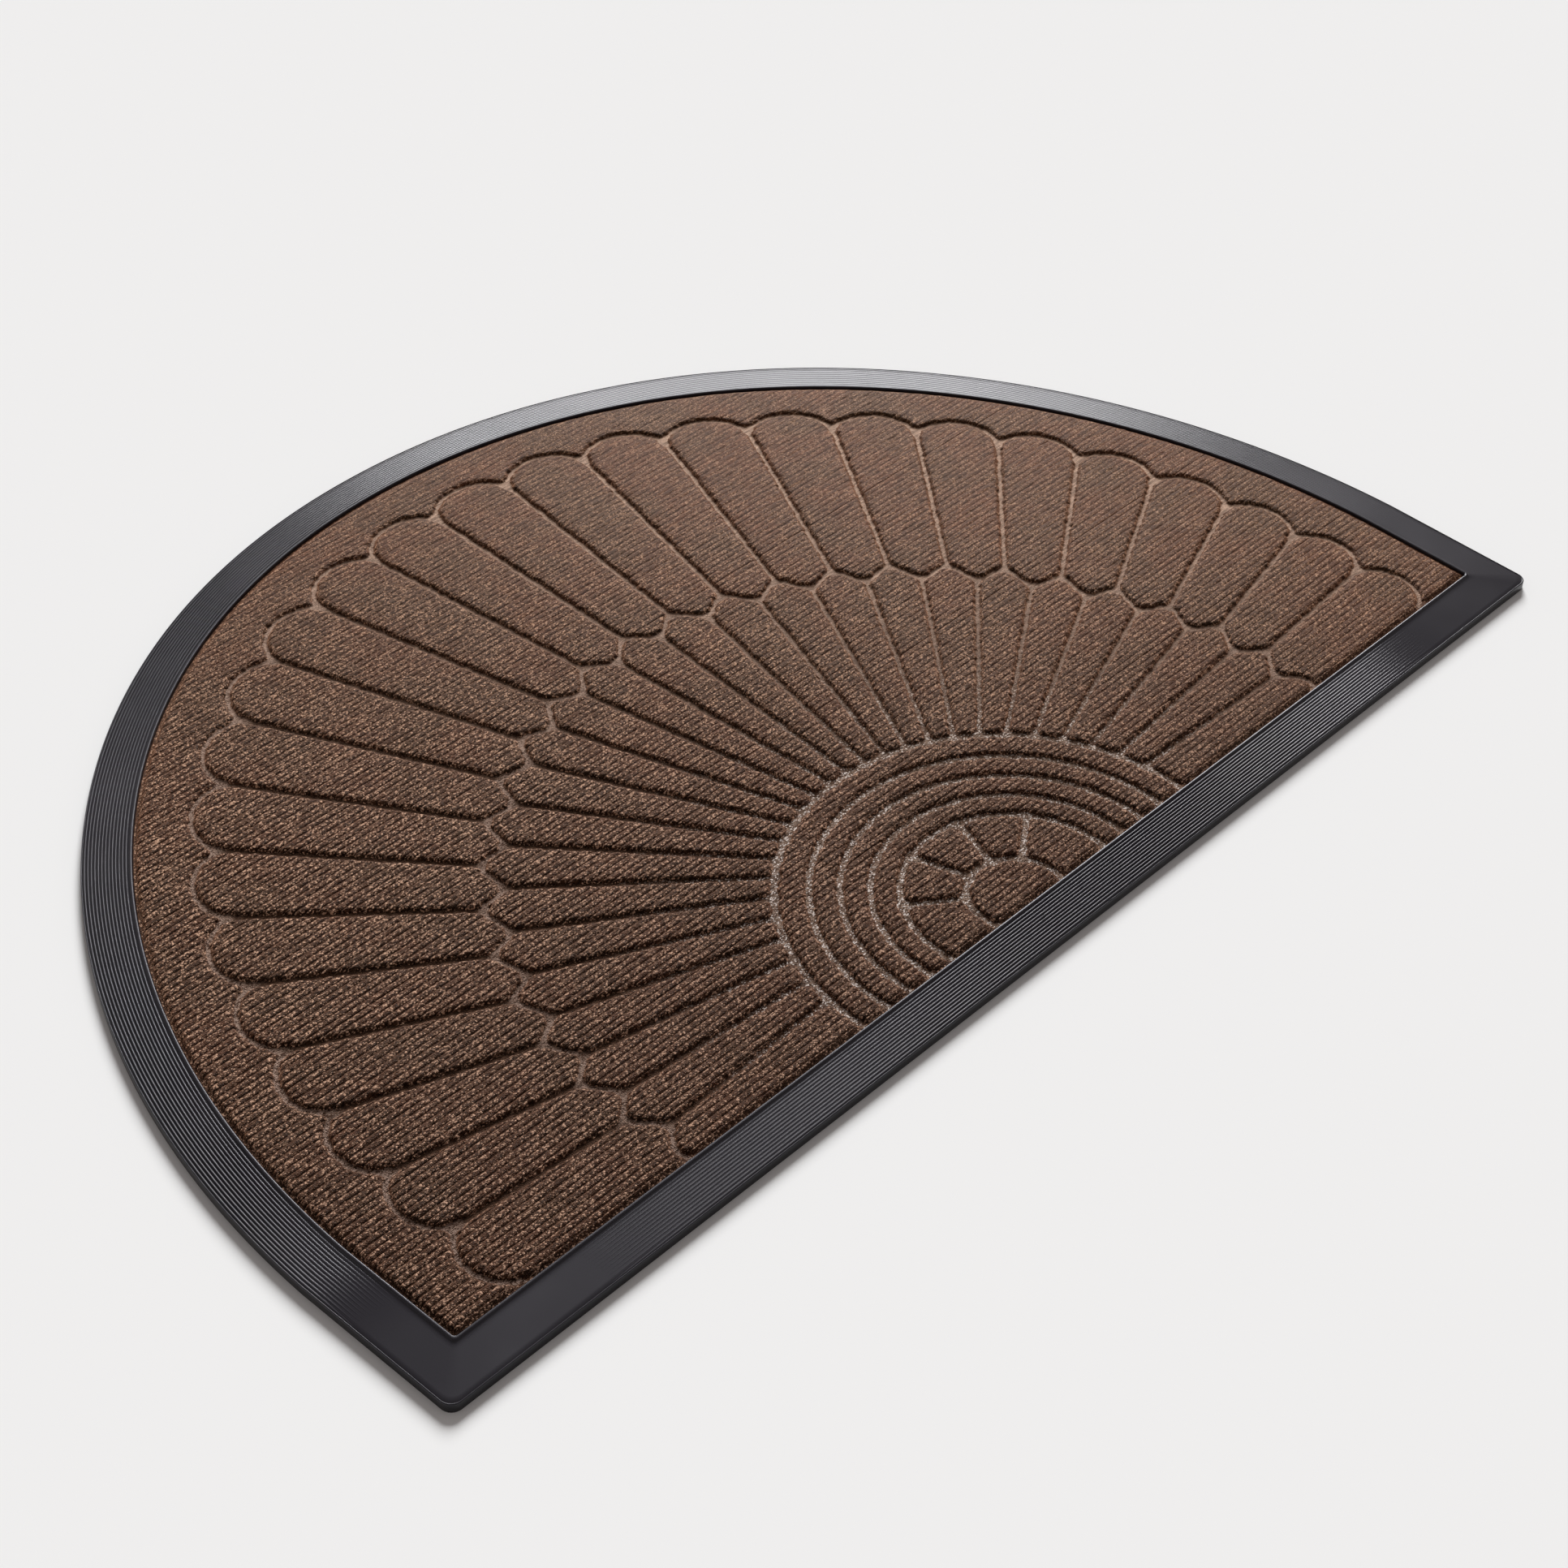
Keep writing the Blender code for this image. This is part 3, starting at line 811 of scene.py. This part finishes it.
def closedBand(lines):
    # the upper side between two valleys, closed with walls and an underside
    starts = np.cumsum([0] + [len(line) for line in lines])
    data = np.concatenate(lines)
    indices = [np.arange(start, end) for start, end in zip(starts[:-1], starts[1:])]
    faces = np.concatenate([
        zipRows(low[:, 0], lowIndex, high[:, 0], highIndex)
        for low, lowIndex, high, highIndex in zip(lines[:-1], indices[:-1], lines[1:], indices[1:])
    ])
    rim = np.concatenate([
        indices[0],
        [index[-1] for index in indices[1:-1]],
        indices[-1][::-1],
        [index[0] for index in indices[-2:0:-1]],
    ])
    foot = data[rim].copy()
    foot[:, 2] = pile["backingTop"] - pile["footSink"]
    below = len(data) + np.arange(len(rim))
    walls = np.stack([below, np.roll(below, -1), np.roll(rim, -1), rim], 1)
    return np.concatenate([data, foot]), faces.tolist() + walls.tolist() + [below[::-1].tolist()]


def makePile(material):
    lines = pickPoints(carpetSurface())
    perCord = len(pile["cordPhases"])
    counts = np.cumsum([len(line) for line in lines])
    shares = [counts[-1] * part / pile["bands"] for part in range(1, pile["bands"])]
    cuts = [0] + [perCord * round(np.searchsorted(counts, share) / perCord) for share in shares]
    cuts.append(len(lines) - 1)
    items = []
    for number, (start, end) in enumerate(zip(cuts[:-1], cuts[1:]), 1):
        data, faces = closedBand(lines[start:end + 1])
        item = placeMesh(f"carpet_pile_{number}", data[:, :3], faces,
                         groove=data[:, 3], spoke=data[:, 4], crest=data[:, 5])
        finishPiece(item, material, "carpet")
        items.append(item)
        print("pile band", number, "has", len(faces), "faces")
    return items


def makeBacking(material):
    # the carpet's lower layer, a closed slab with the whole outline
    loop = outlineLoop(mat["carpetInset"])
    count = len(loop)
    low = np.column_stack([loop, np.full(count, carpetLow.z)])
    high = np.column_stack([loop, np.full(count, pile["backingTop"])])
    faces = [(here, (here + 1) % count, count + (here + 1) % count, count + here) for here in range(count)]
    faces.append(tuple(range(count))[::-1])
    faces.append(tuple(range(count, 2 * count)))
    item = placeMesh("carpet_backing", np.concatenate([low, high]), faces, smoothAngle=base["smoothAngle"],
                     groove=np.ones(2 * count), crest=np.ones(2 * count))
    finishPiece(item, material, "carpet")


fibre = {
    "dark": (0.003, 0.0015, 0.0010, 1.0),
    "red": (0.050, 0.0225, 0.0132, 1.0),
    "grey": (0.037, 0.0222, 0.0138, 1.0),
    "fleck": (0.620, 0.392, 0.268, 1.0),
    "stitch": 1350.0,              # tufts per metre
    "stretch": (0.72, 1, 1),       # tufts are longer along the cords
    "scatter": 0.8,
    "patches": (20.0, 3.0),        # noise that mixes red brown and grey brown yarn
    "patchRange": (0.38, 0.62),
    "streaks": ((60, 300, 300), 3.0),       # dark streaks along the cords
    "darkShare": (0.9, 0.6),       # how much the streaks and the single tufts darken
    "darkRange": (0.97, 0.53),
    "fleckRange": (0.70, 0.95),
    "smoothLoss": (-0.6, -0.75),   # change of the darks and of the flecks towards the smooth side
    # painted shade: the colour is multiplied by this towards the straight edge
    "frontShade": (0.70, 0.70, 0.72, 1.0),
    "brush": ((75, 520, 520), 4.0, 0.65),   # fine streaks on the smooth side
    "brushRange": (0.34, 0.68),
    "brushTones": ((0.38, 0.35, 0.31, 1.0), (1.70, 1.58, 1.40, 1.0)),
    "valley": (0.53, 0.22),        # painted shade between the cords, as a tone: its growth towards the smooth side and its start
    "valleyRange": (0.15, 0.90),
}

pressed = {
    "near": (0.20, 0.155, 0.120, 1.0),       # speckled ground round the hub
    "nearFleck": (0.95, 0.90, 0.84, 1.0),
    "far": (0.275, 0.208, 0.172, 1.0),
    "spoke": (0.040, 0.026, 0.018, 1.0),     # painted shade on the ground between the petals on the near side
    "dark": (0.012, 0.008, 0.006, 1.0),
    "stitch": 1485.0,
    "hubReach": (0.11, 0.24),                # from the hub, where the near ground turns into the far one
    "grooveRange": (0.84, 0.98),
}

carpetGloss = {
    "roughness": 0.62,
    "level": 0.45,
    "tintShare": (17.0, 16.3, 14.0),         # how the fibres' colour tints their gloss
    "tintMost": (1.75, 1.10, 0.71),
    "sheen": 0.38,
    "sheenRoughness": 0.5,
    "sheenTint": (1.0, 0.475, 0.275, 1.0),
    "fuzzNoise": (1900.0, 2.0),
    "fuzz": 0.5,
    "lumpNoise": ((220, 420, 420), 2.0),
    "lumps": (1.9, 0.9),                     # tangled clumps of fibre, round the hub and elsewhere
    "bump": (0.95, 0.45),                    # at the side where feet step on and at the smooth side
    "bumpReach": 0.0006,
}


def heather(tree, place, tones, smooth, front):
    # mixed fibres: dark and light tufts over two tones of yarn; gives their colour and their height
    cells = addNode(tree, "ShaderNodeTexVoronoi", Vector=scaled(tree, place, fibre["stretch"]),
                    Scale=tones["stitch"], Randomness=fibre["scatter"])
    tuft = addNode(tree, "ShaderNodeSeparateColor", Color=cells.outputs["Color"])
    patch = noiseNode(tree, place, *fibre["patches"])
    streak = noiseNode(tree, place, *fibre["streaks"])
    brush = noiseNode(tree, place, *fibre["brush"])
    byStreak, byTuft = fibre["darkShare"]
    lessDark, lessFleck = fibre["smoothLoss"]

    yarn = mixColours(tree, rangeNode(tree, patch, *fibre["patchRange"]), tones["red"], tones["grey"])
    darkness = mathNode(tree, "MULTIPLY_ADD", streak, byStreak,
                        mathNode(tree, "MULTIPLY", tuft.outputs[0], byTuft))
    darker = mathNode(tree, "MULTIPLY", rangeNode(tree, darkness, *fibre["darkRange"]),
                      mathNode(tree, "MULTIPLY_ADD", smooth, lessDark, 1.0))
    lighter = mathNode(tree, "MULTIPLY", rangeNode(tree, tuft.outputs[1], *fibre["fleckRange"]),
                       mathNode(tree, "MULTIPLY_ADD", smooth, lessFleck, 1.0))
    colour = mixColours(tree, lighter, mixColours(tree, darker, yarn, tones["dark"]), tones["fleck"])

    # painted shade: darker towards the straight edge
    frontShade = mixColours(tree, front, (1.0, 1.0, 1.0, 1.0), fibre["frontShade"])
    streaked = mixColours(tree, rangeNode(tree, brush, *fibre["brushRange"]), *fibre["brushTones"])
    lay = mixColours(tree, smooth, frontShade, streaked)
    return (mixColours(tree, 1.0, colour, lay, "MULTIPLY"),
            mathNode(tree, "SUBTRACT", 1.0, cells.outputs["Distance"]))


def carpetMaterial():
    material, tree, shader = useNodes("pressedCarpet")
    place = addNode(tree, "ShaderNodeTexCoord").outputs["Object"]
    across = addNode(tree, "ShaderNodeVectorMath", {"operation": "DOT_PRODUCT"}, i0=place, i1=(1.0, 1.0, 0.0))
    smooth = rangeNode(tree, across.outputs["Value"], wearAndShade["start"], wearAndShade["end"])
    # mask of the painted shade towards the straight edge
    front = rangeNode(tree, addNode(tree, "ShaderNodeSeparateXYZ", Vector=place).outputs[1], *wearAndShade["front"])
    centre = (0.0, fan["centre"] - mat["depth"] / 2, pile["sheetTop"])
    hub = addNode(tree, "ShaderNodeVectorMath", {"operation": "DISTANCE"}, i0=place, i1=centre)
    away = rangeNode(tree, hub.outputs["Value"], *pressed["hubReach"])

    yarn, tufts = heather(tree, place, fibre, smooth, front)
    # painted shade: the colour darkens in the valleys between the cords, less towards the smooth side
    crest = rangeNode(tree, attributeNode(tree, "crest"), *fibre["valleyRange"])
    valley = mathNode(tree, "MULTIPLY_ADD", smooth, *fibre["valley"])
    cords = mixColours(tree, crest, valley, (1.0, 1.0, 1.0, 1.0))
    yarn = mixColours(tree, 1.0, yarn, cords, "MULTIPLY")

    # painted shade: the spoke grooves' ground turns dark away from the smooth side
    shaded = mathNode(tree, "MULTIPLY", attributeNode(tree, "spoke"), mathNode(tree, "SUBTRACT", 1.0, smooth))
    tone = mixColours(tree, away, pressed["near"], pressed["far"])
    tone = mixColours(tree, shaded, tone, pressed["spoke"])
    fleck = mixColours(tree, away, pressed["nearFleck"], tone)
    tones = {"red": tone, "grey": tone, "fleck": fleck, "dark": pressed["dark"], "stitch": pressed["stitch"]}
    ground = heather(tree, place, tones, smooth, front)[0]
    onGround = rangeNode(tree, attributeNode(tree, "groove"), *pressed["grooveRange"])
    colour = mixColours(tree, onGround, yarn, ground)
    tree.links.new(colour, shader.inputs["Base Color"])

    gloss = carpetGloss
    tint = addNode(tree, "ShaderNodeVectorMath", {"operation": "MINIMUM"},
                   i0=scaled(tree, colour, gloss["tintShare"]), i1=gloss["tintMost"])
    tree.links.new(tint.outputs[0], shader.inputs["Specular Tint"])
    shader.inputs["Roughness"].default_value = gloss["roughness"]
    shader.inputs["Specular IOR Level"].default_value = gloss["level"]
    shader.inputs["Sheen Weight"].default_value = gloss["sheen"]
    shader.inputs["Sheen Roughness"].default_value = gloss["sheenRoughness"]
    shader.inputs["Sheen Tint"].default_value = gloss["sheenTint"]

    fuzz = noiseNode(tree, place, *gloss["fuzzNoise"])
    lumps = noiseNode(tree, place, *gloss["lumpNoise"])
    nearLumps, farLumps = gloss["lumps"]
    tangle = mathNode(tree, "MULTIPLY_ADD", away, farLumps - nearLumps, nearLumps)
    height = mathNode(tree, "MULTIPLY_ADD", fuzz, gloss["fuzz"], tufts)
    height = mathNode(tree, "MULTIPLY_ADD", lumps, tangle, height)
    strength = rangeNode(tree, smooth, 0.0, 1.0, *gloss["bump"])
    bump = addNode(tree, "ShaderNodeBump", Height=height, Strength=strength, Distance=gloss["bumpReach"])
    tree.links.new(bump.outputs[0], shader.inputs["Normal"])
    return material


carpetFinish = carpetMaterial()
pileBands = makePile(carpetFinish)
makeBacking(carpetFinish)
print("carpet is made")
